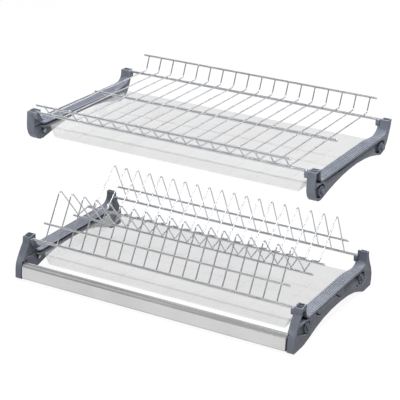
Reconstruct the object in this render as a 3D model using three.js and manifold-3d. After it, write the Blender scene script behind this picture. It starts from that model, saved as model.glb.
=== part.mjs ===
// Two-tier dish drainer for a 500 mm wall cabinet, millimetres, +Z up, front towards -Y.
// Origin: middle of the whole width and depth, bottom of the lower brackets' feet.
import * as THREE from 'three';
import { mergeVertices } from 'three/addons/utils/BufferGeometryUtils.js';
import Module from 'manifold-3d';

const wasm = await Module();
wasm.setup();

// ---------- driving dimensions ----------
const HALF_W = 232;            // outer face of the side brackets
const Z_LOW = 61;              // axis of the lower rack's end rods
const Z_UP = 262.5;            // axis of the upper rack's end rods
const Y_LOW = -20.25;          // middle of the lower tier
const Y_UP = Y_LOW + 21;       // the upper tier sits this much further back
const ROD_LOW_F = -116.5, ROD_LOW_R = 119.5;   // lower end rods, Y
const Z_ROD_LOW_F = 1.0, Z_ROD_LOW_R = -4.6, Z_ROD_UP_F = -2.0, Z_ROD_UP_R = 0.8;   // end rods above or below the tier's level
const ROD_UP_F = -127.6, ROD_UP_R = 138;       // upper end rods, Y (before Y_UP)
const R_ROD = 2.0;             // end rods and middle rod
const R_BAR = 1.6;             // fence bars and long bars
const R_WIRE = 1.0;            // cross wires and plate wires
const GAP = 0.3;               // air between pieces that touch
const N_LOW = 19, PITCH_LOW = 21.45;
const N_UP = 18, PITCH_UP = 22.6;
const BAR_HALF_LOW = 205, BAR_HALF_UP = 203;
const ROD_HALF = 217.7;        // end rods reach into the hooks of the brackets
const WEB_IN = -12.5;          // inner face of a bracket's wall, from its outer face
const RAIL_IN = -20.4;         // inner edge of the wide rail
const RAIL_TOP = -19, RAIL_T = 2.6;
const RAIL_LEAN = 0.1;         // the rail's top leans towards the tray
const SLOT_H = 4.2;            // height of the tray slot under the rail
const LEDGE_T = 2.4;
const TRAY_HALF = 218, TRAY_T = 1.6, TRAY_DEPTH = 18.6;
const PROFILE_HALF = 219.2;

// ---------- helpers ----------
const colours = {
  plastic: [0x737a86, 0.55, 0.0], chrome: [0xcfd2d6, 0.12, 1.0], clear: [0xe9eef0, 0.15, 0.0],
  alu: [0xd4d4d0, 0.38, 0.9], dowel: [0x5d636e, 0.6, 0.0], steel: [0xb9bcc0, 0.3, 1.0], plug: [0x3f444c, 0.6, 0.0],
};
function mat(kind) {
  const [c, r, m] = colours[kind];
  const o = { color: c, roughness: r, metalness: m };
  if (kind === 'clear') { o.transparent = true; o.opacity = 0.35; }
  return new THREE.MeshStandardMaterial(o);
}
function clean(g) {
  let h = g.index ? g : g;
  h = h.clone();
  h.deleteAttribute('normal'); h.deleteAttribute('uv');
  return mergeVertices(h, 1e-4);
}
function solid(g) {
  const h = clean(g);
  return new wasm.Manifold(new wasm.Mesh({ numProp: 3, vertProperties: new Float32Array(h.attributes.position.array), triVerts: new Uint32Array(h.index.array) }));
}
function geom(m) {
  const q = m.getMesh();
  const g = new THREE.BufferGeometry();
  g.setAttribute('position', new THREE.BufferAttribute(new Float32Array(q.vertProperties), 3));
  g.setIndex(new THREE.BufferAttribute(new Uint32Array(q.triVerts), 1));
  const flat = g.toNonIndexed();
  flat.computeVertexNormals();
  return flat;
}
function unite(list) { let m = list[0]; for (let i = 1; i < list.length; i++) m = m.add(list[i]); return m; }
// outline in (y, z) swept from x0 to x1
function sweepX(points, x0, x1, holes = []) {
  const s = new THREE.Shape(points.map(p => new THREE.Vector2(p[0], p[1])));
  for (const h of holes) s.holes.push(new THREE.Path(h.map(p => new THREE.Vector2(p[0], p[1]))));
  const g = new THREE.ExtrudeGeometry(s, { depth: x1 - x0, bevelEnabled: false, steps: 1 });
  g.applyMatrix4(new THREE.Matrix4().set(0, 0, 1, x0, 1, 0, 0, 0, 0, 1, 0, 0, 0, 0, 0, 1));
  return solid(g);
}
// outline in (x, z) swept from y0 to y1
function sweepY(points, y0, y1) {
  const s = new THREE.Shape(points.map(p => new THREE.Vector2(p[0], p[1])));
  const g = new THREE.ExtrudeGeometry(s, { depth: y1 - y0, bevelEnabled: false, steps: 1 });
  g.applyMatrix4(new THREE.Matrix4().set(1, 0, 0, 0, 0, 0, -1, y1, 0, 1, 0, 0, 0, 0, 0, 1));
  return solid(g);
}
function box(x0, x1, y0, y1, z0, z1) {
  const g = new THREE.BoxGeometry(x1 - x0, y1 - y0, z1 - z0);
  g.translate((x0 + x1) / 2, (y0 + y1) / 2, (z0 + z1) / 2);
  return solid(g);
}
function cylX(r, x0, x1, y, z, n = 12) {
  const g = new THREE.CylinderGeometry(r, r, x1 - x0, n);
  g.rotateZ(Math.PI / 2); g.rotateX(Math.PI / n);
  g.translate((x0 + x1) / 2, y, z);
  return solid(g);
}
function mirrored(g) {           // mirror in X, faces kept outward
  const h = g.index ? g.toNonIndexed() : g.clone();
  const a = h.attributes.position.array;
  for (let i = 0; i < a.length; i += 9) {
    for (let k = 0; k < 3; k++) { a[i + 3 * k] *= -1; }
    for (let k = 0; k < 3; k++) { const t = a[i + 3 + k]; a[i + 3 + k] = a[i + 6 + k]; a[i + 6 + k] = t; }
  }
  h.computeVertexNormals();
  return h;
}
// wire through corner points, each inner corner rounded with radius r
function wirePath(corners, radii, steps = 3) {
  const P = corners.map(c => new THREE.Vector3(...c));
  const out = [P[0].clone()];
  for (let i = 1; i < P.length - 1; i++) {
    const a = P[i - 1].clone().sub(P[i]).normalize(), b = P[i + 1].clone().sub(P[i]).normalize();
    const half = Math.acos(THREE.MathUtils.clamp(a.dot(b), -1, 1)) / 2;
    const t = radii[i] / Math.tan(half);
    const c = P[i].clone().add(a.clone().add(b).normalize().multiplyScalar(radii[i] / Math.sin(half)));
    const s = P[i].clone().addScaledVector(a, t), e = P[i].clone().addScaledVector(b, t);
    const u = s.clone().sub(c), v = e.clone().sub(c);
    const sweep = Math.PI - 2 * half;
    for (let k = 0; k <= steps; k++) {
      const f = k / steps;
      const w = u.clone().multiplyScalar(Math.sin((1 - f) * sweep) / Math.sin(sweep)).add(v.clone().multiplyScalar(Math.sin(f * sweep) / Math.sin(sweep)));
      out.push(c.clone().add(w));
    }
  }
  out.push(P[P.length - 1].clone());
  return out;
}
class Polyline extends THREE.Curve {
  constructor(pts) {
    super(); this.pts = pts;
    this.cum = [0];
    for (let i = 1; i < pts.length; i++) this.cum.push(this.cum[i - 1] + pts[i].distanceTo(pts[i - 1]));
  }
  getPoint(t, target = new THREE.Vector3()) {
    const n = this.pts.length - 1;
    const x = THREE.MathUtils.clamp(t * n, 0, n), i = Math.min(n - 1, Math.floor(x)), f = x - i;
    return target.copy(this.pts[i]).lerp(this.pts[i + 1], f);
  }
  getPointAt(t, target) { return this.getPoint(t, target); }
  getTangent(t, target = new THREE.Vector3()) {
    const n = this.pts.length - 1;
    const i = Math.round(t * n);
    const a = this.pts[Math.max(0, i - 1)], b = this.pts[Math.min(n, i + 1)], p = this.pts[i];
    const u = p.clone().sub(a), v = b.clone().sub(p);
    if (u.lengthSq() > 0) u.normalize();
    if (v.lengthSq() > 0) v.normalize();
    return target.copy(u.add(v)).normalize();
  }
  getTangentAt(t, target) { return this.getTangent(t, target); }
}
function wireGeom(pts, r, sides = 6) {
  const s = new THREE.Shape();
  for (let i = 0; i < sides; i++) {
    const a = 2 * Math.PI * i / sides;
    if (i) s.lineTo(r * Math.cos(a), r * Math.sin(a)); else s.moveTo(r * Math.cos(a), r * Math.sin(a));
  }
  return new THREE.ExtrudeGeometry(s, { steps: pts.length - 1, extrudePath: new Polyline(pts), bevelEnabled: false, curveSegments: 1 });
}
function rodX(half, r, sides = 10) {
  const g = new THREE.CylinderGeometry(r, r, 2 * half, sides);
  g.rotateZ(Math.PI / 2);
  return geom(solid(g));
}
const root = new THREE.Group();
root.name = 'cabinet_dish_drainer';
function place(parent, name, g, kind, x = 0, y = 0, z = 0) {
  const m = new THREE.Mesh(g, mat(kind));
  m.name = name; m.position.set(x, y, z); parent.add(m);
  return m;
}
function group(name, x, y, z) { const g = new THREE.Group(); g.name = name; g.position.set(x, y, z); root.add(g); return g; }

// ---------- side brackets ----------
// side outline of the upper bracket, (y, z) from the middle of the tier and the rod axis
const outlineUp = [
  [-132, -1.6], [-132.6, -20], [-132, -28.4], [-128.6, -37], [-123, -42.8], [-116.4, -46.4], [-108, -46.8],
  [-98, -44.8], [-80, -40.6], [-60, -37], [-35, -33.6], [-10, -31.6], [20, -31.2], [50, -33], [75, -36.3], [98, -41.3],
  [110, -44.5], [118, -45.2], [127, -42.5], [134, -37], [140, -29], [145, -18], [148.6, -8], [150.4, 1.5],
  [136.2, 1.5], [136, -6], [133.6, -12], [127, -16.6], [117, -19], [-104, -19], [-107.4, -18.5], [-111, -16.6], [-113.9, -13], [-115, -9], [-115, -0.8], [-124.4, -0.8], [-124.4, -1.6]];
const outlineLow = [
  [-121.4, 4.6], [-122.4, -5], [-127, -11], [-132, -18.5], [-137, -26.5], [-140, -34], [-141, -42], [-141, -55.6], [-139.2, -57.6],
  [-110, -57.6], [-104, -56.8], [-88, -53.4], [-66, -47.3], [-40, -42.5], [-10, -40.2], [21, -40.3], [53, -42.6], [80, -47.6], [100, -54.2], [114, -59.5], [119, -61],
  [148, -61], [149.5, -51], [148.4, -40], [143, -28], [137, -19.5], [132.6, -12], [129.6, -5], [128.2, 3],
  [121.4, 3], [121.2, -6], [118.6, -12], [112, -16.8], [103, -19], [-88, -19], [-93, -17.9], [-97.6, -15.6], [-101.4, -12.2], [-104, -8.6], [-105.5, -4], [-105.5, 6], [-113.8, 6], [-113.8, 4.6]];
// outline in (x, y) raised from z0 to z1
function riseZ(points, z0, z1) {
  const s = new THREE.Shape(points.map(p => new THREE.Vector2(p[0], p[1])));
  const g = new THREE.ExtrudeGeometry(s, { depth: z1 - z0, bevelEnabled: false, steps: 1 });
  g.translate(0, 0, z0);
  return solid(g);
}
const UNDER = RAIL_TOP - RAIL_T, LEDGE = UNDER - SLOT_H;
function bracket(o) {
  let m = sweepX(o.outline, WEB_IN, 0);
  // pockets and grooves open towards the cabinet side
  for (const [p, depth] of o.pockets) m = m.subtract(sweepX(p, -depth, 1));
  // the face below the rail leans in towards the rail
  for (const [y0, y1, foot, depth] of o.slopes) m = m.subtract(sweepY([[0.5, foot], [0.5, UNDER], [-depth, UNDER], [0, foot]], y0, y1));
  // thinner wall and clearances on the rack side
  for (const [p, x] of o.inner) m = m.subtract(sweepX(p, -15, x));
  // wide rail, its inner edge running into the rear post
  const [r0, r1] = o.rail;
  m = m.add(riseZ([[RAIL_IN + 4, r0], [-12, r0], [-12, r1 + 6], [-16, r1 + 6], [-16.6, r1 - 2], [-18.4, r1 - 12], [RAIL_IN, r1 - 22], [RAIL_IN, r0 + 5], [RAIL_IN + 1.2, r0 + 1.6]], UNDER, RAIL_TOP));
  // front face of the rear post, curving up from the rail
  m = m.add(sweepX(o.band, -16, -12));
  // ledge below the tray slot
  m = m.add(sweepX([[r0, LEDGE], [r1 - 4, LEDGE], [r1 - 4, LEDGE - LEDGE_T], [r0, LEDGE - LEDGE_T]], RAIL_IN + 1.4, -11));
  // round screw bosses
  for (const b of o.bosses) m = m.add(cylX(7.6, -12.5, -0.3, b[0], b[1], 16));
  for (const b of o.bosses) m = m.subtract(cylX(4.6, -14, 1, b[0], b[1], 16));
  // open-topped rod seats, each a small hook reaching in past the wall
  for (const [y, z, tip, heel] of o.seats) {
    m = m.add(sweepX([[y - 4.4, z + 0.6], [y - 4.6, z - 5.4], [y - 2.8, z - 9.4], [y + 4.2, z - 9.4], [y + 4.6, z - 5.4], [y + 4.6, z + 0.6]], tip, heel));
  }
  for (const [y, z] of o.seats) {
    const arc = [];
    for (let k = 0; k <= 6; k++) { const a = Math.PI + Math.PI * k / 6; arc.push([y + 2.4 * Math.cos(a), z + 2.4 * Math.sin(a)]); }
    m = m.subtract(sweepX([...arc, [y + 2.4, z + 12], [y - 2.4, z + 12]], -21, -14));
  }
  // the flat top leans inwards, so that drops run into the tray
  m = m.warp(v => { if (Math.abs(v[2] - RAIL_TOP) < 1e-3) v[2] += 1.1 + RAIL_LEAN * v[0]; });
  return geom(m);
}
const bossUp = [[-106, -35.2], [118, -34.9]], bossLow = [[-97, -33.7], [105, -33.9]];
const pocketsUp = [
  // open front post above a small shelf
  [[[-129.4, -3.6], [-129.8, -20.6], [-104, -21.2], [-108.6, -20.6], [-112.8, -18.2], [-116, -14.2], [-117.4, -9.6], [-117.6, -3.6]], 8.6],
  // around the front and the rear boss
  [[[-129.8, -22.8], [-104, -23.4], [-98, -27.5], [-97, -32], [-98.4, -38.4], [-101.6, -42.8], [-108, -43.8], [-116.6, -43.4], [-121.8, -40.2], [-126.2, -35.6], [-129.2, -28.6]], 4.4],
  [[[90, UNDER - 1.2], [112, UNDER - 0.6], [122, -23.4], [128, -27.5], [129.6, -33], [126.6, -38.4], [122, -41.4], [117.6, -42.3], [110.2, -41.9], [98, -38.4], [90, -34.6]], 5.0],
  // shadow groove below the rail
  [[[-104, UNDER], [-104, -24.4], [-72, -25.4], [-39, -25.8], [10, -25], [60, -23.9], [92, -22.8], [92, UNDER]], 7.0]];
const pocketsLow = [
  [[[-118.8, -1.4], [-120, -6.6], [-124.4, -12.8], [-128.4, -18.4], [-128.6, -19.4], [-91, -21.1], [-96.4, -19.4], [-100.8, -16.6], [-104.4, -12.6], [-106.9, -8], [-107.9, -3.8], [-107.9, -1.4]], 8.6],
  [[[-130.4, -22], [-104, -22.9], [-91.6, -24.4], [-88.4, -29], [-88.4, -37], [-91, -41.4], [-97, -43.2], [-106, -42.2], [-116, -38.6], [-126, -34.4], [-132.6, -30.5]], 3.4],
  [[[80, -22.8], [103, -22.4], [112, -23.8], [116.6, -28], [116.6, -38], [112.6, -42.2], [105, -43.6], [98, -42], [94.5, -38]], 5.0],
  // small triangle beside the rear boss
  [[[82.5, -42.2], [92.6, -43.4], [89.6, -35.2]], 4.0],
  [[[-86, UNDER], [-86, -22.6], [84, -22.6], [84, UNDER]], 2.4],
  // two curved slits running down from the rail
  ...[-69, 5].map(y => [[[y - 0.8, UNDER], [y + 3.2, -25.8], [y + 8.6, -29.4], [y + 14.8, -31.7], [y + 21, -32.7], [y + 21, -32.1], [y + 15.2, -30.3], [y + 9.8, -27.4], [y + 5.2, -23.8], [y + 2.6, UNDER]], 5.0])];
const bandUp = [[100, -19], [117, -19], [127, -16.6], [133.6, -12], [136, -6], [136.2, 1.5], [139.6, 1.5], [139.6, -6.8], [136.8, -13.8], [129.2, -19.2], [118, -21.6], [100, -21.6]];
const bandLow = [[90, -19], [103, -19], [112, -16.8], [118.6, -12], [121.2, -6], [121.4, 3], [124.8, 3], [124.8, -6.8], [121.8, -14], [114, -19.4], [104, -21.6], [90, -21.6]];
const innerUp = [[[[-129, -23.3], [-112, -23.3], [-112, -25.8], [-127, -25.5]], -9.8]];
const innerLow = [
  [[[-126, -23.3], [-103, -23.3], [-103, -25.8], [-125, -25.5]], -9.8],
  [[[-146, -29], [-146, -63], [-128, -63], [-128, -29]], -10.5],
  [[[-128.2, -45], [-84, -45], [-84, -28.6], [84, -28.6], [88, -45], [116, -45], [118, -63], [-128.2, -63]], -6]];
const bracketUp = bracket({ outline: outlineUp, seats: [[ROD_UP_F, Z_ROD_UP_F, -17.4, -12], [ROD_UP_R, Z_ROD_UP_R, -19.2, -13.4]], bosses: bossUp, rail: [-114.6, 112], pockets: pocketsUp, slopes: [[-96, 90, -31.5, 3.4]], inner: innerUp, band: bandUp });
const bracketLow = bracket({ outline: outlineLow, seats: [[ROD_LOW_F, Z_ROD_LOW_F, -17.4, -12], [ROD_LOW_R, Z_ROD_LOW_R, -19.2, -13.4]], bosses: bossLow, rail: [-105.2, 100], pockets: pocketsLow, slopes: [[-86, 34, -30, 1.2], [34, 84, -34, 4.0]], inner: innerLow, band: bandLow });
place(root, 'upper_bracket_right', bracketUp, 'plastic', HALF_W, Y_UP, Z_UP);
place(root, 'upper_bracket_left', mirrored(bracketUp), 'plastic', -HALF_W, Y_UP, Z_UP);
place(root, 'lower_bracket_right', bracketLow, 'plastic', HALF_W, Y_LOW, Z_LOW);
place(root, 'lower_bracket_left', mirrored(bracketLow), 'plastic', -HALF_W, Y_LOW, Z_LOW);

// ---------- expansion dowels and their screws ----------
function lathe(profile, n) {
  const g = new THREE.LatheGeometry(profile.map(p => new THREE.Vector2(p[0], p[1])), n);
  g.rotateZ(-Math.PI / 2);     // axis to +X
  return g;
}
const dowelG = geom(solid(lathe([[2.1, -8.2], [3.9, -9.0], [3.9, -10.4], [5.0, -10.4], [5.0, -8.6], [4.2, -8.4], [4.2, 5.0], [3.6, 6.2], [4.2, 7.4], [3.2, 8.6], [2.1, 8.6], [2.1, -8.2]], 10)));
const screwG = geom(solid(lathe([[0, -10.2], [3.4, -10.2], [3.4, -9.2], [1.7, -7.6], [1.7, 8.0], [0, 9.6]], 10)));
const sides = [['right', 1], ['left', -1]];
const tiers = [['upper', bossUp, Y_UP, Z_UP], ['lower', bossLow, Y_LOW, Z_LOW]];
// the dowel's flange rests on the inner face of the boss
const DOWEL_X = -4.4;
for (const [tn, bosses, ty, tz] of tiers) {
  for (const [sn, s] of sides) {
    bosses.forEach((b, i) => {
      const at = ['front', 'rear'][i];
      const dg = s > 0 ? dowelG : mirrored(dowelG), sg = s > 0 ? screwG : mirrored(screwG);
      place(root, `${tn}_dowel_${sn}_${at}`, dg, 'dowel', s * (HALF_W + DOWEL_X), ty + b[0], tz + b[1]);
      place(root, `${tn}_screw_${sn}_${at}`, sg, 'steel', s * (HALF_W + DOWEL_X - 0.6), ty + b[0], tz + b[1]);
    });
  }
}

// ---------- aluminium front profile and its end plugs ----------
const profPts = [[-142, -55.4], [-142, -35.2], [-133, -30.6], [-132.2, -33.2], [-133.4, -33.6], [-134.2, -32.8], [-140.4, -36], [-140.4, -54], [-135.6, -54], [-135.6, -52], [-134.2, -52], [-134.2, -55.4]];
place(root, 'front_profile', geom(sweepX(profPts, -PROFILE_HALF, PROFILE_HALF)), 'alu', 0, Y_LOW, Z_LOW);
const plugFlange = sweepX([[-141.6, -55], [-141.6, -35.6], [-133.4, -31.4], [-133.4, -55]], PROFILE_HALF + GAP, PROFILE_HALF + 2.0);
const plugTongue = sweepX([[-140.0, -53.6], [-140.0, -37.4], [-135, -34.8], [-135, -51.4], [-136.2, -51.4], [-136.2, -53.6]], PROFILE_HALF - 12, PROFILE_HALF + 1);
let plugTeeth = [];
for (let k = 0; k < 6; k++) plugTeeth.push(box(PROFILE_HALF + GAP, PROFILE_HALF + 2.0, -142.3, -141, -54.4 + 3.2 * k, -53 + 3.2 * k));
const plugG = geom(unite([plugFlange, plugTongue, ...plugTeeth]));
place(root, 'profile_end_plug_right', plugG, 'plug', 0, Y_LOW, Z_LOW);
place(root, 'profile_end_plug_left', mirrored(plugG), 'plug', 0, Y_LOW, Z_LOW);

// ---------- drip trays ----------
function roundRect(hx, y0, y1, r, n = 3) {
  const c = [[hx - r, y1 - r, 0], [-hx + r, y1 - r, 1], [-hx + r, y0 + r, 2], [hx - r, y0 + r, 3]];
  const out = [];
  for (const [cx, cy, q] of c) for (let k = 0; k <= n; k++) { const a = Math.PI / 2 * (q + k / n); out.push([cx + r * Math.cos(a), cy + r * Math.sin(a)]); }
  return out;
}
function loft(a, b, za, zb) {      // closed solid between two outlines with the same count
  const n = a.length, pos = [], idx = [];
  for (const p of a) pos.push(p[0], p[1], za);
  for (const p of b) pos.push(p[0], p[1], zb);
  const top = THREE.ShapeUtils.triangulateShape(b.map(p => new THREE.Vector2(p[0], p[1])), []);
  for (const t of top) { idx.push(n + t[0], n + t[1], n + t[2]); idx.push(t[0], t[2], t[1]); }
  for (let i = 0; i < n; i++) { const j = (i + 1) % n; idx.push(i, j, n + j, i, n + j, n + i); }
  const g = new THREE.BufferGeometry();
  g.setAttribute('position', new THREE.Float32BufferAttribute(pos, 3)); g.setIndex(idx);
  return solid(g);
}
function tray(y0, y1) {
  // the rim lies in the bracket slots, the bowl hangs below it
  const t = TRAY_T, d = TRAY_DEPTH, wx = 209, fl = 199;
  const outer = loft(roundRect(fl, y0 + 7, y1 - 7, 9), roundRect(wx, y0 + 3, y1 - 3, 9), -d, 0.01);
  const inner = loft(roundRect(fl - 1.4, y0 + 8.4, y1 - 8.4, 8), roundRect(wx - 1.2, y0 + 4.4, y1 - 4.4, 8), -d + t, 1);
  const rim = loft(roundRect(TRAY_HALF, y0, y1, 4, 2), roundRect(TRAY_HALF, y0, y1, 4, 2), -t, 0);
  let m = outer.add(rim).subtract(inner);
  // shallow drainage ribs across the floor
  for (let k = -4; k <= 4; k++) m = m.add(box(k * 42 - 1.2, k * 42 + 1.2, y0 + 22, y1 - 22, -d + t - 0.2, -d + t + 1.0));
  return geom(m);
}
const TRAY_Z = RAIL_TOP - RAIL_T - 2.3;      // the rim rests on the ledge, a dark gap below the rail
const upTray = group('upper_tray_slide', 0, Y_UP, Z_UP + TRAY_Z);
place(upTray, 'upper_drip_tray', tray(-116, 112), 'clear');
const lowTray = group('lower_tray_slide', 0, Y_LOW, Z_LOW + TRAY_Z);
place(lowTray, 'lower_drip_tray', tray(-108, 98), 'clear');

// ---------- upper rack ----------
const upRack = group('upper_rack_lift', 0, Y_UP, Z_UP);
place(upRack, 'upper_rod_front', rodX(ROD_HALF, R_ROD), 'chrome', 0, ROD_UP_F, Z_ROD_UP_F);
place(upRack, 'upper_rod_rear', rodX(ROD_HALF, R_ROD), 'chrome', 0, ROD_UP_R, Z_ROD_UP_R);
place(upRack, 'upper_fence_bar_front', rodX(BAR_HALF_UP, R_BAR, 8), 'chrome', 0, -151.4, 17.9);
place(upRack, 'upper_fence_bar_rear', rodX(BAR_HALF_UP, R_BAR, 8), 'chrome', 0, 160.2, 25.6);
const zTop = R_ROD + R_WIRE + GAP, MID_Y = 9.5;
{
  const corners = [[-148.0, 19.4], [-131.2, zTop + Z_ROD_UP_F], [149, zTop + 0.1 + Z_ROD_UP_R], [157, 27.6]];
  const mid = solid((() => { const g = new THREE.CylinderGeometry(R_ROD, R_ROD, 2 * BAR_HALF_UP, 10); g.rotateZ(Math.PI / 2); g.translate(0, MID_Y, 0.2); return g; })());
  // wires bite a little into the middle rod they are welded to
  const path = wirePath(corners.map(c => [0, c[0], c[1]]), [0, 4, 5, 0], 3);
  const pts = [];
  for (let i = 0; i < path.length; i++) {
    pts.push(path[i]);
    if (i === 4) { for (const [y, z] of [[MID_Y - 12, 2.63], [MID_Y, 2.8], [MID_Y + 12, 2.9]]) pts.push(new THREE.Vector3(0, y, z)); }
  }
  const w = wireGeom(pts, R_WIRE, 6);
  let m = mid;
  for (let i = 0; i < N_UP; i++) { const g = w.clone(); g.translate((i - (N_UP - 1) / 2) * PITCH_UP, 0, 0); m = m.add(solid(g)); }
  place(upRack, 'upper_cross_wire_grid', geom(m), 'chrome');
}

// ---------- lower plate rack ----------
const lowRack = group('lower_rack_lift', 0, Y_LOW, Z_LOW);
place(lowRack, 'lower_rod_front', rodX(ROD_HALF, R_ROD), 'chrome', 0, ROD_LOW_F, Z_ROD_LOW_F);
place(lowRack, 'lower_rod_rear', rodX(ROD_HALF, R_ROD), 'chrome', 0, ROD_LOW_R, Z_ROD_LOW_R);
place(lowRack, 'lower_fence_bar_front', rodX(BAR_HALF_LOW, R_BAR, 8), 'chrome', 0, -104.9, 26.4);
place(lowRack, 'lower_fence_bar_rear', rodX(BAR_HALF_LOW, R_BAR, 8), 'chrome', 0, 108.2, 19.9);
const A = [-23, 12.8], B = [19, 13.2], lift = R_BAR + R_WIRE + GAP;
place(lowRack, 'lower_plate_bar_front', rodX(BAR_HALF_LOW, R_BAR, 8), 'chrome', 0, A[0], A[1]);
place(lowRack, 'lower_plate_bar_rear', rodX(BAR_HALF_LOW, R_BAR, 8), 'chrome', 0, B[0], B[1]);
{
  const footF = [-2.4, ROD_LOW_F + 2.35 * 0.515, Z_ROD_LOW_F + 2.35 * 0.857], footR = [2.4, ROD_LOW_R - 2.35 * 0.515, Z_ROD_LOW_R + 2.35 * 0.857];
  const corners = [footF, [-3.6, -74.3, 72.6], [-2.7, A[0] + 0.2, A[1] + lift], [-9.4, B[0] + 0.4, B[1] + lift], [1.8, B[0] + 0.4, B[1] + lift], [3.6, 73.4, 72.4], footR];
  const pts = wirePath(corners, [0, 5, 3, 2.6, 2.6, 5, 0], 3);
  const w = wireGeom(pts, R_WIRE, 6);
  const g0 = geom(solid(w));
  for (let i = 0; i < N_LOW; i++) place(lowRack, `plate_wire_${String(i + 1).padStart(2, '0')}`, g0.clone(), 'chrome', (i - (N_LOW - 1) / 2) * PITCH_LOW, 0, 0);
}

export default root;
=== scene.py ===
import math
import random

import bpy
import bmesh
from mathutils import Matrix, Vector


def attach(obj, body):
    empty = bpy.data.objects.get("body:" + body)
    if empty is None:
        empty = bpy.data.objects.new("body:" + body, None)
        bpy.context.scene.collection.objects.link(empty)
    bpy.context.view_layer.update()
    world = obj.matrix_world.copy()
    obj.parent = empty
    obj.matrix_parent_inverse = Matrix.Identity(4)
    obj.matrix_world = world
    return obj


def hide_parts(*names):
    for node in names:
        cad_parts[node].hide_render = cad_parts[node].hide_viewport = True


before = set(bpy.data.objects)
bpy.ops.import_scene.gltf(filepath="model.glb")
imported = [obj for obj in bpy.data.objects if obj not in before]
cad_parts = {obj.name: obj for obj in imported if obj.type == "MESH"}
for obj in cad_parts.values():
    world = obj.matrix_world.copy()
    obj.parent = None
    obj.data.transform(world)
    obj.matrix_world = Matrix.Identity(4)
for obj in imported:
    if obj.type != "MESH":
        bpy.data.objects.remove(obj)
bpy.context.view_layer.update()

random.seed(7)
MM = 0.001

# ------------------------------------------------------------------ driving numbers, millimetres
Z_LOW, Z_UP = 61.0, 262.5
Y_LOW = -20.25
Y_UP = Y_LOW + 21.0
ROD_LOW = ((-116.5, 1.0), (119.5, -4.6))      # end rods, (y, z) from the tier's level
ROD_UP = ((-127.6, -2.0), (138.0, 0.8))
FENCE_LOW = ((-104.9, 26.4), (108.2, 19.9))
FENCE_UP = ((-151.4, 17.9), (160.2, 25.6))
MID_UP = (9.5, 0.1)
HALF_W = 232.0
R_ROD, R_BAR, R_WIRE = 2.0, 1.6, 1.0
N_LOW, PITCH_LOW = 19, 21.45
N_UP, PITCH_UP = 18, 22.6
BAR_LOW, BAR_UP, ROD_HALF = 205.0, 203.0, 217.7
TRAY_HALF = 218.0
RAIL_TOP = -19.0
TRAY_Z = RAIL_TOP - 2.6 - 2.3


# ------------------------------------------------------------------ camera
cam_data = bpy.data.cameras.new("camera")
cam = bpy.data.objects.new("camera", cam_data)
bpy.context.scene.collection.objects.link(cam)
yaw, pitch, roll = 0.4716, 0.3658, 0.0493
right = Vector((math.cos(yaw), math.sin(yaw), 0))
ahead = Vector((-math.sin(yaw) * math.cos(pitch), math.cos(yaw) * math.cos(pitch), -math.sin(pitch)))
up = right.cross(ahead)
right_r = math.cos(roll) * right + math.sin(roll) * up
up_r = -math.sin(roll) * right + math.cos(roll) * up
m = Matrix((right_r, up_r, -ahead)).transposed().to_4x4()
m.translation = Vector((893.51, -1744.25 + Y_LOW, 826.72 + Z_LOW)) * MM
cam.matrix_world = m
cam_data.sensor_width = 36
cam_data.lens = 1400.05 * 36 / 400
cam_data.clip_start, cam_data.clip_end = 0.05, 50
cam_data.dof.use_dof = False
bpy.context.scene.camera = cam
bpy.context.scene.view_settings.view_transform = "Standard"
bpy.context.scene.view_settings.look = "None"


# ------------------------------------------------------------------ mesh helpers
def make(name, verts, faces, smooth=True):
    """An object from millimetre points and faces."""
    me = bpy.data.meshes.new(name)
    me.from_pydata([tuple(c * MM for c in v) for v in verts], [], faces)
    me.validate()
    me.update()
    o = bpy.data.objects.new(name, me)
    bpy.context.scene.collection.objects.link(o)
    if smooth:
        me.shade_smooth()
    return o


def join(parts):
    verts, faces = [], []
    for v, f in parts:
        n = len(verts)
        verts += v
        faces += [[i + n for i in q] for q in f]
    return verts, faces


def fillet(corners, radii, steps=6):
    """Points along a path whose inner corners are rounded."""
    pts = [Vector(c) for c in corners]
    out = [pts[0]]
    for i in range(1, len(pts) - 1):
        a = (pts[i - 1] - pts[i]).normalized()
        b = (pts[i + 1] - pts[i]).normalized()
        half = a.angle(b) / 2
        t = radii[i] / math.tan(half)
        c = pts[i] + (a + b).normalized() * (radii[i] / math.sin(half))
        s, e = pts[i] + a * t, pts[i] + b * t
        u, v = s - c, e - c
        sweep = math.pi - 2 * half
        for k in range(steps + 1):
            f = k / steps
            w = u * (math.sin((1 - f) * sweep) / math.sin(sweep)) + v * (math.sin(f * sweep) / math.sin(sweep))
            out.append(c + w)
    out.append(pts[-1])
    return out


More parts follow.
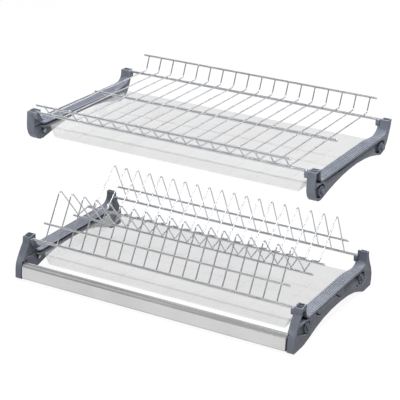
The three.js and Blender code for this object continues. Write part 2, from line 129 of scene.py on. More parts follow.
def tube(path, r, sides=14, cap=0.75):
    """A swept round bar with softly rounded ends."""
    raw = [Vector(p) for p in path]
    pts = [raw[0]]
    for i, (a, b) in enumerate(zip(raw, raw[1:])):
        # rings close to both ends of a long straight keep its shading straight
        length = (b - a).length
        s = r * cap * 0.7 + 0.4 if i == 0 else 0.4
        e = r * cap * 0.7 + 0.4 if i == len(raw) - 2 else 0.4
        if length > 14:
            pts += [a.lerp(b, s / length), a.lerp(b, 1 - e / length)]
        pts.append(b)
    n = len(pts)
    tan = []
    for i in range(n):
        a = pts[max(0, i - 1)]
        b = pts[min(n - 1, i + 1)]
        u = (pts[i] - a).normalized() if i else Vector()
        v = (b - pts[i]).normalized() if i < n - 1 else Vector()
        tan.append((u + v).normalized())
    ref = Vector((1, 0, 0)) if abs(tan[0].x) < 0.8 else Vector((0, 0, 1))
    nrm = (ref - tan[0] * ref.dot(tan[0])).normalized()
    rings = []

    def ring(c, t, nn, rad):
        bb = t.cross(nn)
        return [c + (nn * math.cos(2 * math.pi * k / sides) + bb * math.sin(2 * math.pi * k / sides)) * rad for k in range(sides)]

    normals = [nrm]
    for i in range(1, n):
        q = tan[i - 1].rotation_difference(tan[i])
        nn = q @ normals[-1]
        nn = (nn - tan[i] * nn.dot(tan[i])).normalized()
        normals.append(nn)
    for step, s in ((0.0, 0.35), (0.22, 0.8)):
        rings.append(ring(pts[0] + tan[0] * r * cap * step, tan[0], normals[0], r * s))
    rings.append(ring(pts[0] + tan[0] * r * cap * 0.7, tan[0], normals[0], r))
    for i in range(1, n - 1):
        rings.append(ring(pts[i], tan[i], normals[i], r))
    rings.append(ring(pts[-1] - tan[-1] * r * cap * 0.7, tan[-1], normals[-1], r))
    rings.append(ring(pts[-1] - tan[-1] * r * cap * 0.22, tan[-1], normals[-1], r * 0.8))
    rings.append(ring(pts[-1], tan[-1], normals[-1], r * 0.35))
    verts = [tuple(v) for q in rings for v in q]
    faces = []
    for i in range(len(rings) - 1):
        for k in range(sides):
            j = (k + 1) % sides
            faces.append([i * sides + k, i * sides + j, (i + 1) * sides + j, (i + 1) * sides + k])
    faces.append(list(range(sides))[::-1])
    last = (len(rings) - 1) * sides
    faces.append([last + k for k in range(sides)])
    return verts, faces


def bead(c, rx, ry, rz, seed=0):
    """A small weld nugget."""
    rnd = random.Random(seed)
    verts, faces, seg, rows = [], [], 8, 5
    verts.append((c[0], c[1], c[2] + rz))
    for i in range(1, rows):
        a = math.pi * i / rows
        for k in range(seg):
            b = 2 * math.pi * k / seg
            j = 1 + 0.10 * (rnd.random() - 0.5)
            verts.append((c[0] + rx * math.sin(a) * math.cos(b) * j, c[1] + ry * math.sin(a) * math.sin(b) * j, c[2] + rz * math.cos(a)))
    verts.append((c[0], c[1], c[2] - rz))
    for k in range(seg):
        faces.append([0, 1 + k, 1 + (k + 1) % seg])
    for i in range(rows - 2):
        for k in range(seg):
            a, b = 1 + i * seg, 1 + (i + 1) * seg
            faces.append([a + k, b + k, b + (k + 1) % seg, a + (k + 1) % seg])
    e = len(verts) - 1
    a = 1 + (rows - 2) * seg
    for k in range(seg):
        faces.append([e, a + (k + 1) % seg, a + k])
    return verts, faces


def lathe_x(profile, seg=28):
    """A turned solid about the X axis from (x, r) pairs that start and end at r 0."""
    verts, faces = [], []
    rings = []
    for x, r in profile:
        if r < 1e-6:
            rings.append([len(verts)])
            verts.append((x, 0, 0))
        else:
            rings.append(list(range(len(verts), len(verts) + seg)))
            verts += [(x, r * math.cos(2 * math.pi * k / seg), r * math.sin(2 * math.pi * k / seg)) for k in range(seg)]
    for a, b in zip(rings, rings[1:]):
        for k in range(seg):
            j = (k + 1) % seg
            if len(a) == 1:
                faces.append([a[0], b[j], b[k]])
            elif len(b) == 1:
                faces.append([a[k], a[j], b[0]])
            else:
                faces.append([a[k], a[j], b[j], b[k]])
    return verts, faces


def prism_x(outline, x0, x1):
    """Outline in (y, z), counter-clockwise seen from +X, swept along X."""
    n = len(outline)
    verts = [(x0, y, z) for y, z in outline] + [(x1, y, z) for y, z in outline]
    faces = [list(range(n))[::-1], [n + k for k in range(n)]]
    faces += [[k, (k + 1) % n, n + (k + 1) % n, n + k] for k in range(n)]
    return verts, faces


def prism_z(outline, z0, z1):
    """Outline in (x, y), counter-clockwise seen from above, swept along Z."""
    n = len(outline)
    verts = [(x, y, z0) for x, y in outline] + [(x, y, z1) for x, y in outline]
    faces = [list(range(n))[::-1], [n + k for k in range(n)]]
    faces += [[k, (k + 1) % n, n + (k + 1) % n, n + k] for k in range(n)]
    return verts, faces


def block(x0, x1, y0, y1, z0, z1):
    return prism_z([(x0, y0), (x1, y0), (x1, y1), (x0, y1)], z0, z1)


def fix_normals(o):
    bm = bmesh.new()
    bm.from_mesh(o.data)
    bmesh.ops.recalc_face_normals(bm, faces=bm.faces)
    bm.to_mesh(o.data)
    bm.free()


def bake_modifiers(o):
    """The object's modifiers become its mesh."""
    dg = bpy.context.evaluated_depsgraph_get()
    me = bpy.data.meshes.new_from_object(o.evaluated_get(dg), preserve_all_data_layers=True, depsgraph=dg)
    o.modifiers.clear()
    o.data = me


def drop(o):
    me = o.data
    bpy.data.objects.remove(o)
    if me.users == 0:
        bpy.data.meshes.remove(me)


def cut(o, shapes, operation="DIFFERENCE"):
    """Cuts, or joins, closed shapes from or to an object."""
    for k, s in enumerate(shapes):
        c = make(f"cutter_{k}", *s, smooth=False)
        fix_normals(c)
        mod = o.modifiers.new("cut", "BOOLEAN")
        mod.operation, mod.solver, mod.object = operation, "EXACT", c
        bpy.context.view_layer.update()
        bake_modifiers(o)
        drop(c)


def soften(o, width, segments=2, angle=28, clean=True):
    """Merges flat facets and rounds the sharp edges."""
    bm = bmesh.new()
    bm.from_mesh(o.data)
    bmesh.ops.remove_doubles(bm, verts=bm.verts, dist=3e-6)
    if clean:
        bmesh.ops.dissolve_degenerate(bm, edges=bm.edges, dist=3e-6)
        bmesh.ops.dissolve_limit(bm, angle_limit=math.radians(0.6), verts=bm.verts, edges=bm.edges, use_dissolve_boundaries=False)
    bm.to_mesh(o.data)
    bm.free()
    o.data.shade_smooth()
    mod = o.modifiers.new("edge", "BEVEL")
    mod.width, mod.segments, mod.limit_method = width * MM, segments, "ANGLE"
    mod.angle_limit = math.radians(angle)
    mod.use_clamp_overlap = True
    mod.harden_normals = True
    mod.miter_outer = "MITER_ARC"
    bpy.context.view_layer.update()
    bake_modifiers(o)


def cad_copy(node, name):
    """A new piece that starts from a CAD node's own shape."""
    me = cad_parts[node].data.copy()
    me.name = name
    me.materials.clear()
    o = bpy.data.objects.new(name, me)
    bpy.context.scene.collection.objects.link(o)
    bm = bmesh.new()
    bm.from_mesh(me)
    bmesh.ops.remove_doubles(bm, verts=bm.verts, dist=2e-6)
    bmesh.ops.recalc_face_normals(bm, faces=bm.faces)
    bm.to_mesh(me)
    bm.free()
    while me.attributes.get("custom_normal"):
        me.attributes.remove(me.attributes["custom_normal"])
    return o


def shift(part, x=0.0, y=0.0, z=0.0, sx=1):
    v, f = part
    v = [(sx * a + x, b + y, c + z) for a, b, c in v]
    if sx < 0:
        f = [q[::-1] for q in f]
    return v, f


# ------------------------------------------------------------------ materials
def new_material(name):
    mat = bpy.data.materials.new(name)
    mat.use_nodes = True
    nt = mat.node_tree
    bsdf = nt.nodes["Principled BSDF"]
    return mat, nt, bsdf


def coords(nt, scale=(1, 1, 1)):
    tc = nt.nodes.new("ShaderNodeTexCoord")
    mp = nt.nodes.new("ShaderNodeMapping")
    mp.inputs["Scale"].default_value = scale
    nt.links.new(tc.outputs["Object"], mp.inputs["Vector"])
    return mp.outputs["Vector"]


def noise(nt, vec, scale, detail=3.0, rough=0.5):
    n = nt.nodes.new("ShaderNodeTexNoise")
    n.inputs["Scale"].default_value = scale
    n.inputs["Detail"].default_value = detail
    n.inputs["Roughness"].default_value = rough
    nt.links.new(vec, n.inputs["Vector"])
    return n.outputs["Fac"]


def ramp(nt, fac, stops):
    r = nt.nodes.new("ShaderNodeValToRGB")
    e = r.color_ramp.elements
    e[0].position, e[0].color = stops[0][0], (*stops[0][1], 1)
    e[1].position, e[1].color = stops[-1][0], (*stops[-1][1], 1)
    for p, c in stops[1:-1]:
        k = e.new(p)
        k.color = (*c, 1)
    nt.links.new(fac, r.inputs["Fac"])
    return r.outputs["Color"]


def span(nt, fac, lo, hi, a=0.3, b=0.7):
    r = nt.nodes.new("ShaderNodeMapRange")
    r.inputs["From Min"].default_value, r.inputs["From Max"].default_value = a, b
    r.inputs["To Min"].default_value, r.inputs["To Max"].default_value = lo, hi
    nt.links.new(fac, r.inputs["Value"])
    return r.outputs["Result"]


def bump(nt, height, strength, distance, below=None):
    b = nt.nodes.new("ShaderNodeBump")
    b.inputs["Strength"].default_value = strength
    b.inputs["Distance"].default_value = distance
    nt.links.new(height, b.inputs["Height"])
    if below is not None:
        nt.links.new(below, b.inputs["Normal"])
    return b.outputs["Normal"]


def mix(nt, fac, a, b, kind="MIX"):
    n = nt.nodes.new("ShaderNodeMix")
    n.data_type, n.blend_type = "RGBA", kind
    if isinstance(fac, float):
        n.inputs[0].default_value = fac
    else:
        nt.links.new(fac, n.inputs[0])
    for s, v in ((n.inputs[6], a), (n.inputs[7], b)):
        if isinstance(v, tuple):
            s.default_value = (*v, 1)
        else:
            nt.links.new(v, s)
    return n.outputs[2]


def plastic(name, dark, light, wear, rough=(0.40, 0.56), grain=0.25):
    mat, nt, b = new_material(name)
    v = coords(nt)
    cloud = noise(nt, v, 55, 4, 0.6)
    fine = noise(nt, v, 2600, 3, 0.6)
    col = ramp(nt, cloud, [(0.32, dark), (0.68, light)])
    speck = ramp(nt, fine, [(0.25, (0.90, 0.90, 0.90)), (0.75, (1.08, 1.08, 1.08))])
    col = mix(nt, 1.0, col, speck, "MULTIPLY")
    geo = nt.nodes.new("ShaderNodeNewGeometry")
    edge = span(nt, geo.outputs["Pointiness"], 0.0, 0.55, 0.52, 0.60)
    col = mix(nt, edge, col, wear)
    # painted light and shade: faces that look up are painted lighter, the other faces darker
    up = nt.nodes.new("ShaderNodeSeparateXYZ")
    nt.links.new(geo.outputs["Normal"], up.inputs[0])
    where = nt.nodes.new("ShaderNodeSeparateXYZ")
    nt.links.new(geo.outputs["Position"], where.inputs[0])
    lower = span(nt, where.outputs["Z"], 1.0, 0.0, 0.12, 0.19)
    # painted shade: below z 0.12-0.19 m the faces that don't look up are darkened
    side = mix(nt, 1.0, col, mix(nt, lower, (1.0, 1.0, 1.0), (0.78, 0.78, 0.785)), "MULTIPLY")
    # painted shade: faces turned towards +X or -X are darkened further
    across = nt.nodes.new("ShaderNodeMath")
    across.operation = "ABSOLUTE"
    nt.links.new(up.outputs["X"], across.inputs[0])
    side = mix(nt, 1.0, side, ramp(nt, across.outputs[0], [(0.80, (1.0, 1.0, 1.0)), (0.97, (0.76, 0.76, 0.77))]), "MULTIPLY")
    # painted top light: faces that look up are brightened, more strongly on the lower tier
    painted_top_light = mix(nt, 1.0, col, mix(nt, lower, (1.40, 1.39, 1.37), (1.78, 1.76, 1.72)), "MULTIPLY")
    col = mix(nt, span(nt, up.outputs["Z"], 0.0, 1.0, 0.75, 0.97), side, painted_top_light)
    nt.links.new(col, b.inputs["Base Color"])
    nt.links.new(span(nt, cloud, *rough), b.inputs["Roughness"])
    b.inputs["Specular IOR Level"].default_value = 0.14
    n1 = bump(nt, noise(nt, v, 1500, 2, 0.5), 0.35, grain * MM * 0.4)
    nt.links.new(bump(nt, fine, 0.3, grain * MM * 0.25, n1), b.inputs["Normal"])
    return mat


mat_bracket = plastic("bracket_plastic", (0.117, 0.128, 0.156), (0.143, 0.156, 0.189), (0.26, 0.28, 0.325))
mat_dowel = plastic("dowel_plastic", (0.085, 0.096, 0.12), (0.11, 0.125, 0.155), (0.22, 0.24, 0.28))
mat_plug = plastic("plug_plastic", (0.030, 0.034, 0.042), (0.045, 0.05, 0.06), (0.12, 0.13, 0.15))

# chrome wire
mat_chrome, nt, b = new_material("chrome_wire")
v = coords(nt)
cloud = noise(nt, v, 38, 3, 0.55)
nt.links.new(ramp(nt, cloud, [(0.3, (0.55, 0.56, 0.58)), (0.7, (0.64, 0.65, 0.67))]), b.inputs["Base Color"])
b.inputs["Metallic"].default_value = 1.0
nt.links.new(span(nt, noise(nt, v, 900, 3, 0.6), 0.24, 0.34), b.inputs["Roughness"])
nt.links.new(bump(nt, noise(nt, v, 420, 2, 0.5), 0.12, 0.00006), b.inputs["Normal"])

# satin anodised profile, brushed along its length
mat_alu, nt, b = new_material("anodised_profile")
v = coords(nt, (9, 900, 900))
streak = noise(nt, v, 2.0, 4, 0.65)
v2 = coords(nt)
cloud = noise(nt, v2, 14, 3, 0.5)
col = ramp(nt, cloud, [(0.3, (0.56, 0.56, 0.558)), (0.7, (0.63, 0.63, 0.625))])
col = mix(nt, 1.0, col, ramp(nt, streak, [(0.3, (0.94, 0.94, 0.94)), (0.7, (1.03, 1.03, 1.03))]), "MULTIPLY")
nt.links.new(col, b.inputs["Base Color"])
b.inputs["Metallic"].default_value = 0.9
nt.links.new(span(nt, streak, 0.17, 0.27), b.inputs["Roughness"])
b.inputs["Anisotropic"].default_value = 0.4
nt.links.new(bump(nt, streak, 0.10, 0.00004), b.inputs["Normal"])

# zinc plated screw
mat_screw, nt, b = new_material("zinc_screw")
v = coords(nt)
cloud = noise(nt, v, 300, 3, 0.6)
nt.links.new(ramp(nt, cloud, [(0.3, (0.30, 0.31, 0.33)), (0.7, (0.46, 0.47, 0.49))]), b.inputs["Base Color"])
b.inputs["Metallic"].default_value = 1.0
nt.links.new(span(nt, cloud, 0.22, 0.42), b.inputs["Roughness"])
nt.links.new(bump(nt, noise(nt, v, 2500, 2, 0.5), 0.2, 0.00004), b.inputs["Normal"])

# clear moulded tray: a thin haze, thicker on the floor, rim and end walls than on the front and rear walls; the end
# walls' film is also painted much lighter, a painted sheen
mat_tray, nt, b = new_material("clear_tray")
v = coords(nt)
cloud = noise(nt, v, 16, 3, 0.55)
geo = nt.nodes.new("ShaderNodeNewGeometry")
sep = nt.nodes.new("ShaderNodeSeparateXYZ")
nt.links.new(geo.outputs["Normal"], sep.inputs[0])


def size_of(socket):
    n = nt.nodes.new("ShaderNodeMath")
    n.operation = "ABSOLUTE"
    nt.links.new(socket, n.inputs[0])
    return n.outputs[0]


def sums(a, c, operation="ADD"):
    n = nt.nodes.new("ShaderNodeMath")
    n.operation, n.use_clamp = operation, True
    nt.links.new(a, n.inputs[0])
    nt.links.new(c, n.inputs[1])
    return n.outputs[0]


end_wall = span(nt, size_of(sep.outputs["X"]), 0.0, 1.0, 0.5, 0.85)
cross_wall = span(nt, size_of(sep.outputs["Y"]), 0.0, 1.0, 0.3, 0.9)
tint = ramp(nt, cloud, [(0.3, (0.20, 0.202, 0.204)), (0.7, (0.25, 0.252, 0.254))])
# painted sheen: faces turned towards +X or -X get a light film colour instead of the grey tint
nt.links.new(mix(nt, end_wall, tint, (0.66, 0.665, 0.67)), b.inputs["Base Color"])
nt.links.new(span(nt, noise(nt, v, 220, 3, 0.6), 0.12, 0.22), b.inputs["Roughness"])
b.inputs["Specular IOR Level"].default_value = 0.25
b.inputs["IOR"].default_value = 1.5
along = nt.nodes.new("ShaderNodeSeparateXYZ")
nt.links.new(v, along.inputs[0])
rear_haze = span(nt, along.outputs["Y"], 0.03, 0.16, -0.01, 0.05)
film = sums(span(nt, cross_wall, 0.17, 0.0, 0.0, 1.0), sums(cross_wall, rear_haze, "MULTIPLY"))
film = sums(film, span(nt, end_wall, 0.0, 0.20, 0.0, 1.0))
film = sums(film, span(nt, cloud, 0.88, 1.12), "MULTIPLY")
lw = nt.nodes.new("ShaderNodeLayerWeight")
lw.inputs["Blend"].default_value = 0.35
edge = span(nt, lw.outputs["Facing"], 0.0, 0.14, 0.65, 1.0)
nt.links.new(sums(film, edge), b.inputs["Alpha"])
nt.links.new(bump(nt, noise(nt, v, 60, 3, 0.5), 0.10, 0.0004), b.inputs["Normal"])


def finish_piece(o, mat, slot, body, *nodes):
    o.data.materials.clear()
    o.data.materials.append(mat)
    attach(o, body)
    if nodes:
        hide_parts(*nodes)
    return o


# ------------------------------------------------------------------ chrome rods and bars
def rod_along_x(half, r, y, z, sides=20):
    n = 9
    return tube([(-half + 2 * half * k / (n - 1), y, z) for k in range(n)], r, sides)


def rods(name, half, r, y, z, body, node, beads=()):
    o = make(name, *join([rod_along_x(half, r, y, z), *beads]))
    return finish_piece(o, mat_chrome, "chrome_wire", body, node)


# upper rack
yu = Y_UP
for at, (y, z), (fy, fz) in zip(("front", "rear"), ROD_UP, FENCE_UP):
    rods(f"glass_rack_rod_{at}", ROD_HALF, R_ROD, yu + y, Z_UP + z, "glass_rack", f"upper_rod_{at}")
    rods(f"glass_rack_fence_{at}", BAR_UP, R_BAR, yu + fy, Z_UP + fz, "glass_rack", f"upper_fence_bar_{at}")
zt = R_ROD + R_WIRE - 0.15
path = fillet([(0, -150.4, 20.2), (0, -131.2, zt - 2.0), (0, 149, zt + 0.9), (0, 158.3, 27.6)], [0, 4, 5, 0], 7)
extra = []
for p, q in zip(path, path[1:]):
    extra.append(p)
    if (q - p).length > 60:
        extra += [p.lerp(q, k / 24) for k in range(1, 24)]
path = extra + [path[-1]]
for p in path:           # the wires ride over the middle rod
    p.z += 0.45 * math.exp(-((p.y - MID_UP[0]) / 16.0) ** 2)
parts = [rod_along_x(BAR_UP, R_ROD, yu + MID_UP[0], Z_UP + MID_UP[1])]
wire = tube(path, R_WIRE, 12)
for i in range(N_UP):
    x = (i - (N_UP - 1) / 2) * PITCH_UP
    parts.append(shift(wire, x, yu, Z_UP))
    for y, z in (ROD_UP[0], MID_UP, ROD_UP[1]):
        parts.append(bead((x, yu + y, Z_UP + z + 1.95), 1.45, 1.3, 0.55, i * 7 + int(y)))
    parts.append(bead((x, yu - 150.2, Z_UP + 19.0), 1.3, 0.8, 0.9, i + 400))
    parts.append(bead((x, yu + 158.7, Z_UP + 26.2), 1.3, 0.9, 0.9, i + 500))
o = make("glass_rack_wires", *join(parts))
finish_piece(o, mat_chrome, "chrome_wire", "glass_rack", "upper_cross_wire_grid")

# lower rack
yl = Y_LOW
for at, (y, z), (fy, fz) in zip(("front", "rear"), ROD_LOW, FENCE_LOW):
    rods(f"plate_rack_rod_{at}", ROD_HALF, R_ROD, yl + y, Z_LOW + z, "plate_rack", f"lower_rod_{at}")
    rods(f"plate_rack_fence_{at}", BAR_LOW, R_BAR, yl + fy, Z_LOW + fz, "plate_rack", f"lower_fence_bar_{at}")
A, B = (-23.0, 12.8), (19.0, 13.2)
rods("plate_rack_bar_front", BAR_LOW, R_BAR, yl + A[0], Z_LOW + A[1], "plate_rack", "lower_plate_bar_front")
rods("plate_rack_bar_rear", BAR_LOW, R_BAR, yl + B[0], Z_LOW + B[1], "plate_rack", "lower_plate_bar_rear")
lift = R_BAR + R_WIRE - 0.1
(fy, fz), (ry, rz) = ROD_LOW
foot_f = (-2.4, fy + 1.9 * 0.515, fz + 1.9 * 0.857)
foot_r = (2.4, ry - 1.9 * 0.515, rz + 1.9 * 0.857)
corners = [foot_f, (-3.6, -74.3, 72.6), (-2.7, A[0] + 0.2, A[1] + lift), (-9.4, B[0] + 0.4, B[1] + lift),
           (1.8, B[0] + 0.4, B[1] + lift), (3.6, 73.4, 72.4), foot_r]
path = fillet(corners, [0, 5, 3, 2.6, 2.6, 5, 0], 7)
wire = tube(path, R_WIRE, 12)


def weld_at(bar, side):
    """Where the front (0) or rear (1) leg touches a long bar at (y, z)."""
    seg = (corners[0], corners[1]) if side == 0 else (corners[6], corners[5])
    a, c = Vector(seg[0]), Vector(seg[1])
    d = Vector((0, c.y - a.y, c.z - a.z))
    f = Vector((0, bar[0] - a.y, bar[1] - a.z)).dot(d) / d.length_squared
    p = a.lerp(c, f)
    q = Vector((p.x, bar[0], bar[1]))
    return q.lerp(p, 0.6)


for i in range(N_LOW):
    x = (i - (N_LOW - 1) / 2) * PITCH_LOW
    bits = [shift(wire, x, yl, Z_LOW)]
    bits.append(bead((x + foot_f[0], yl + fy + 0.6, Z_LOW + fz + 1.9), 1.35, 1.25, 0.8, i))
    bits.append(bead((x + foot_r[0], yl + ry - 0.6, Z_LOW + rz + 1.9), 1.35, 1.25, 0.8, i + 50))
    for side in (0, 1):
        w = weld_at(FENCE_LOW[side], side)
        bits.append(bead((x + w.x, yl + w.y, Z_LOW + w.z), 1.2, 1.05, 1.1, i + 100 + 50 * side))
    bits.append(bead((x - 3.0, yl + A[0], Z_LOW + A[1] + 1.55), 1.5, 1.1, 0.6, i + 200))
    bits.append(bead((x - 8.4, yl + B[0], Z_LOW + B[1] + 1.55), 1.5, 1.1, 0.6, i + 250))
    bits.append(bead((x + 1.2, yl + B[0], Z_LOW + B[1] + 1.55), 1.5, 1.1, 0.6, i + 300))
    n = f"{i + 1:02d}"
    o = make(f"plate_rack_wire_{n}", *join(bits))
    finish_piece(o, mat_chrome, "chrome_wire", "plate_rack", f"plate_wire_{n}")


# ------------------------------------------------------------------ side brackets
def bracket_piece(tier, side):
    node = f"{tier}_bracket_{side}"
    sx = 1 if side == "right" else -1
    ty, tz = (Y_UP, Z_UP) if tier == "upper" else (Y_LOW, Z_LOW)
    o = cad_copy(node, f"{tier}_side_bracket_{side}")

    def here(part):      # from bracket coordinates (x from the outer face, inwards negative)
        return shift(part, sx * HALF_W, ty, tz, sx)

    shapes = []
    if tier == "upper":
        # open cups in the tops of the posts
        shapes.append(block(-10.6, -1.9, -130.2, -124.9, -2.7, 5))
        shapes.append(block(-10.6, -1.9, -123.9, -116.9, -2.5, 5))
        shapes.append(block(-10.6, -1.9, 141.0, 148.2, -4.0, 5))
        rail0, rail1 = -99, 106
    else:
        shapes.append(block(-10.6, -1.9, -119.8, -114.4, 0.4, 9))
        shapes.append(block(-10.6, -1.9, -113.2, -107.4, 0.4, 9))
        shapes.append(block(-10.6, -1.9, 123.0, 126.6, -3.0, 6))
        rail0, rail1 = -83, 93
    # fine lines along the rail, whose top leans inwards
    for k in range(5):
        x = -17.9 + k * 3.7
        top = RAIL_TOP + 1.1 + 0.1 * (x + 0.6)
        shapes.append(block(x, x + 1.1, rail0, rail1 - (14 if k < 2 else 0), top - 0.55, top + 0.8))
    try:
        cut(o, [here(s) for s in shapes])
    except Exception as e:
        print("bracket cut", e)
    soften(o, 0.35, 2, 30)
    finish_piece(o, mat_bracket, "bracket_plastic", "side_frame", node)
    return o


for tier in ("upper", "lower"):
    for side in ("right", "left"):
        bracket_piece(tier, side)

# ------------------------------------------------------------------ dowels and screws
boss = {"upper": ((-106, -35.2), (118, -34.9)), "lower": ((-97, -33.7), (105, -33.9))}
prof = [(-10.4, 0), (-10.4, 2.2)]
prof = [(-8.2, 0), (-8.2, 2.1), (-9.0, 3.7), (-10.2, 3.8), (-10.4, 4.1), (-10.4, 4.8), (-10.1, 5.0), (-8.9, 5.0), (-8.6, 4.8), (-8.45, 4.25)]
x = -8.2
while x < 3.6:
    prof += [(x, 4.2), (x + 0.9, 4.2), (x + 1.3, 3.75)]
    x += 1.6
prof += [(5.0, 4.1), (6.2, 3.6), (7.2, 4.1), (8.3, 3.3), (8.6, 2.9), (8.6, 2.1), (7.4, 1.8), (7.4, 0)]
dowel = make("dowel_model", *lathe_x(prof))
cut(dowel, [block(-1.0, 9.5, -0.45, 0.45, -6, 6)])
fix_normals(dowel)
head = [(-10.2, 0), (-10.2, 2.6), (-10.0, 3.1), (-9.6, 3.4), (-9.2, 3.4), (-8.6, 2.7), (-7.8, 1.75)]
x = -7.6
while x < 7.4:
    head += [(x, 1.45), (x + 0.4, 1.75), (x + 0.8, 1.45)]
    x += 1.0
head += [(8.0, 1.4), (9.5, 0.15), (9.6, 0)]
screw = make("screw_model", *lathe_x(head, 24))
cut(screw, [block(-11, -8.7, -0.35, 0.35, -2.1, 2.1), block(-11, -8.7, -2.1, 2.1, -0.35, 0.35)])
for tier in ("upper", "lower"):
    ty, tz = (Y_UP, Z_UP) if tier == "upper" else (Y_LOW, Z_LOW)
    for side, sx in (("right", 1), ("left", -1)):
        for at, (y, z) in zip(("front", "rear"), boss[tier]):
            for model, kind, mat, sl, dx in ((dowel, "dowel", mat_dowel, "dowel_plastic", -4.4), (screw, "screw", mat_screw, "zinc_screw", -5.0)):
                me = model.data.copy()
                t = Matrix.Translation(Vector((sx * (HALF_W + dx), ty + y, tz + z)) * MM) @ Matrix.Diagonal((sx, 1, 1, 1))
                me.transform(t)
                if sx < 0:
                    me.flip_normals()
                o = bpy.data.objects.new(f"{tier}_wall_{kind}_{side}_{at}", me)
                bpy.context.scene.collection.objects.link(o)
                me.shade_smooth()
                me.set_sharp_from_angle(angle=math.radians(35))
                finish_piece(o, mat, sl, "side_frame", f"{tier}_{kind}_{side}_{at}")
drop(dowel)
drop(screw)


# ------------------------------------------------------------------ front profile
def profile_outline():
    pts = []
    # front face from the bottom up, a groove near its foot and fine extrusion lines
    pts += [(-141.7, -55.4), (-142.0, -55.1), (-142.0, -54.5), (-141.55, -54.2), (-141.55, -53.5), (-142.0, -53.2)]
    for zz in (-50.2, -47.2, -44.2, -41.2, -38.2):
        pts += [(-142.0, zz - 0.5), (-141.93, zz - 0.15), (-141.93, zz + 0.15), (-142.0, zz + 0.5)]
    pts += [(-142.0, -35.9), (-141.85, -35.5), (-141.5, -35.1)]
    pts += [(-137.6, -33.05), (-137.3, -33.15), (-137.0, -32.75), (-133.3, -30.85), (-132.9, -30.95), (-132.6, -31.5)]
    pts += [(-132.25, -33.1), (-133.4, -33.6), (-134.2, -32.8), (-140.4, -36.0), (-140.4, -54.0), (-135.6, -54.0), (-135.6, -52.0), (-134.2, -52.0), (-134.2, -55.1), (-134.5, -55.4)]
    return pts[::-1]


out = profile_outline()
n = len(out)
verts, faces = [], []
rows = 12
for k in range(rows + 1):
    x = -219.2 + 438.4 * k / rows
    verts += [(x, y + Y_LOW, z + Z_LOW) for y, z in out]
for k in range(rows):
    for i in range(n):
        j = (i + 1) % n
        faces.append([k * n + i, k * n + j, (k + 1) * n + j, (k + 1) * n + i])
faces.append(list(range(n))[::-1])
faces.append([rows * n + i for i in range(n)])
o = make("front_trim_profile", verts, faces, smooth=True)
fix_normals(o)
o.data.set_sharp_from_angle(angle=math.radians(28))
finish_piece(o, mat_alu, "anodised_profile", "side_frame", "front_profile")

for side in ("left", "right"):
    o = cad_copy(f"profile_end_plug_{side}", f"profile_plug_{side}")
    soften(o, 0.18, 2, 30)
    finish_piece(o, mat_plug, "plug_plastic", "side_frame", f"profile_end_plug_{side}")


# ------------------------------------------------------------------ drip trays
def smooth01(t):
    t = max(0.0, min(1.0, t))
    return t * t * (3 - 2 * t)


def tray_mesh(name, y0, y1, ty, tz, body, node):
    """A thin moulded shell: flat rim, sloping wall, floor with a fine grid of ribs."""
    depth, t = 17.2, 1.35
    # stations across x and y, denser at walls and ribs
    def stations(lo, hi, ribs, w0, w1):
        s = [lo, lo + 0.7, lo + 2.0, lo + 4.0, lo + 6.5]
        k = 8
        s += [lo + w0 + (w1 - w0) * i / k for i in range(k + 1)]
        m = [-q + lo + hi for q in s]
        s += m
        for r in ribs:
            s += [r - 1.1, r - 0.55, r, r + 0.55, r + 1.1]
        a = lo + w1
        while a < hi - w1:
            s.append(a)
            a += 14.0
        s = sorted(s)
        res = [s[0]]
        for q in s[1:]:
            if q - res[-1] > 0.3:
                res.append(q)
        return res

    ribs_x = [-168 + 42 * k for k in range(9)]
    span_y = y1 - y0
    ribs_y = [y0 + span_y * f for f in (0.20, 0.38, 0.56, 0.74)]
    xs = stations(-TRAY_HALF, TRAY_HALF, ribs_x, 8.5, 22.0)
    ys = stations(y0, y1, ribs_y, 3.8, 9.6)

    def height(x, y):
        ex = TRAY_HALF - abs(x)
        ey = min(y - y0, y1 - y)
        # wall from the rim down to the floor
        dx = (ex - 10.2) / 10.2
        dy = (ey - 4.4) / 4.1
        r = min(dx, dy)
        if dx < 1.4 and dy < 1.4:      # rounded corner
            ax, ay = max(0.0, 1.2 - dx), max(0.0, 1.2 - dy)
            r = 1.2 - math.hypot(ax, ay)
        d = smooth01(r) * depth
        if r > 1.0:
            d = depth
        z = -d
        if r > 1.05:
            rib = 0.0
            if y0 + 22 < y < y1 - 22:
                for q in ribs_x:
                    rib = max(rib, 1.0 - abs(x - q) / 1.1)
            if abs(x) < 186:
                for q in ribs_y:
                    rib = max(rib, 1.0 - abs(y - q) / 1.1)
            z += 0.75 * smooth01(rib)
        return z

    nx, ny = len(xs), len(ys)
    verts = []
    for y in ys:
        for x in xs:
            # rounded outer corners
            px, py = x, y
            rc = 4.0
            ex, ey = TRAY_HALF - abs(x), min(y - y0, y1 - y)
            if ex < rc and ey < rc:
                ux, uy = rc - ex, rc - ey
                k = max(ux, uy)
                l = math.hypot(ux, uy)
                if l > 1e-6:
                    f = k / l
                    px = math.copysign(TRAY_HALF - rc + ux * f, x)
                    cy = y0 + rc if y - y0 < y1 - y else y1 - rc
                    py = cy + math.copysign(uy * f, y - cy)
            verts.append((px, py + ty, height(x, y) + tz))
    faces = []
    for j in range(ny - 1):
        for i in range(nx - 1):
            a = j * nx + i
            faces.append([a, a + 1, a + nx + 1, a + nx])
    o = make(name, verts, faces)
    mod = o.modifiers.new("wall", "SOLIDIFY")
    mod.thickness, mod.offset, mod.use_even_offset = t * MM, -1, True
    mod.use_rim = True
    mod = o.modifiers.new("edge", "BEVEL")
    mod.width, mod.segments, mod.limit_method, mod.angle_limit = 0.35 * MM, 2, "ANGLE", math.radians(50)
    bpy.context.view_layer.update()
    bake_modifiers(o)
    o.data.shade_smooth()
    finish_piece(o, mat_tray, "clear_tray", body, node)
    return o


tray_mesh("upper_clear_tray", -116, 112, Y_UP, Z_UP + TRAY_Z, "upper_tray", "upper_drip_tray")
tray_mesh("lower_clear_tray", -108, 98, Y_LOW, Z_LOW + TRAY_Z, "lower_tray", "lower_drip_tray")

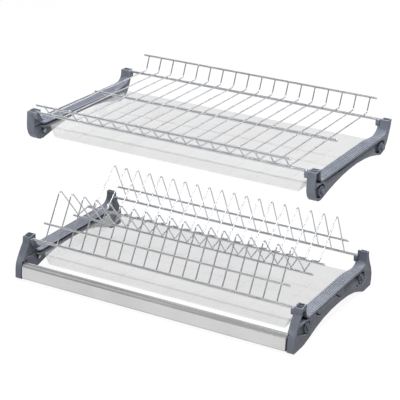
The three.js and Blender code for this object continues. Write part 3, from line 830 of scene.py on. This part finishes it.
# ------------------------------------------------------------------ floor and light
me = bpy.data.meshes.new("floor")
s = 9.0
me.from_pydata([(-s, -s, -0.0005), (s, -s, -0.0005), (s, s, -0.0005), (-s, s, -0.0005)], [], [[0, 1, 2, 3]])
floor = bpy.data.objects.new("floor", me)
bpy.context.scene.collection.objects.link(floor)
fm, nt, b = new_material("floor")
v = coords(nt)
nt.links.new(ramp(nt, noise(nt, v, 3, 2, 0.5), [(0.3, (0.085, 0.085, 0.085)), (0.7, (0.09, 0.09, 0.09))]), b.inputs["Base Color"])
b.inputs["Roughness"].default_value = 0.9
b.inputs["Specular IOR Level"].default_value = 0.1
b.inputs["Emission Color"].default_value = (1, 1, 1, 1)      # a faintly lit table, so shadows stay pale
b.inputs["Emission Strength"].default_value = 0.92
me.materials.append(fm)


def area(name, at, target, size, watts, size_y=None, colour=(1, 1, 1)):
    d = bpy.data.lights.new(name, "AREA")
    d.shape = "RECTANGLE"
    d.size, d.size_y = size, size_y or size
    d.energy, d.color = watts, colour
    o = bpy.data.objects.new(name, d)
    bpy.context.scene.collection.objects.link(o)
    o.location = at
    o.rotation_euler = (Vector(target) - Vector(at)).to_track_quat("-Z", "Y").to_euler()
    return o


area("softbox_key", (0.48, -0.98, 2.1), (0, 0, 0.1), 1.3, 64, 1.0)
area("panel_back", (0.75, 2.1, 2.4), (0, 0, 0.15), 2.2, 36, 1.5)
area("panel_left", (-1.40, 0.36, 2.3), (0, 0, 0.1), 1.2, 1.9, 1.0)
area("panel_near", (-0.82, 0.5, 0.98), (-0.2, 0, 0.2), 0.6, 1.6, 0.6)

world = bpy.data.worlds.new("studio")
bpy.context.scene.world = world
world.use_nodes = True
nt = world.node_tree
bg = nt.nodes["Background"]
tc = nt.nodes.new("ShaderNodeTexCoord")
sep = nt.nodes.new("ShaderNodeSeparateXYZ")
nt.links.new(tc.outputs["Generated"], sep.inputs[0])
col = ramp(nt, sep.outputs["Z"], [(0.0, (0.07, 0.073, 0.08)), (0.22, (0.16, 0.165, 0.178)), (0.42, (0.62, 0.635, 0.66)), (1.0, (0.68, 0.695, 0.72))])
# a little less light from the right
aside = ramp(nt, span(nt, sep.outputs["X"], 0.0, 1.0, 0.0, 0.9), [(0.0, (1.0, 1.0, 1.0)), (1.0, (0.45, 0.45, 0.45))])
nt.links.new(mix(nt, 1.0, col, aside, "MULTIPLY"), bg.inputs["Color"])
bg.inputs["Strength"].default_value = 0.56
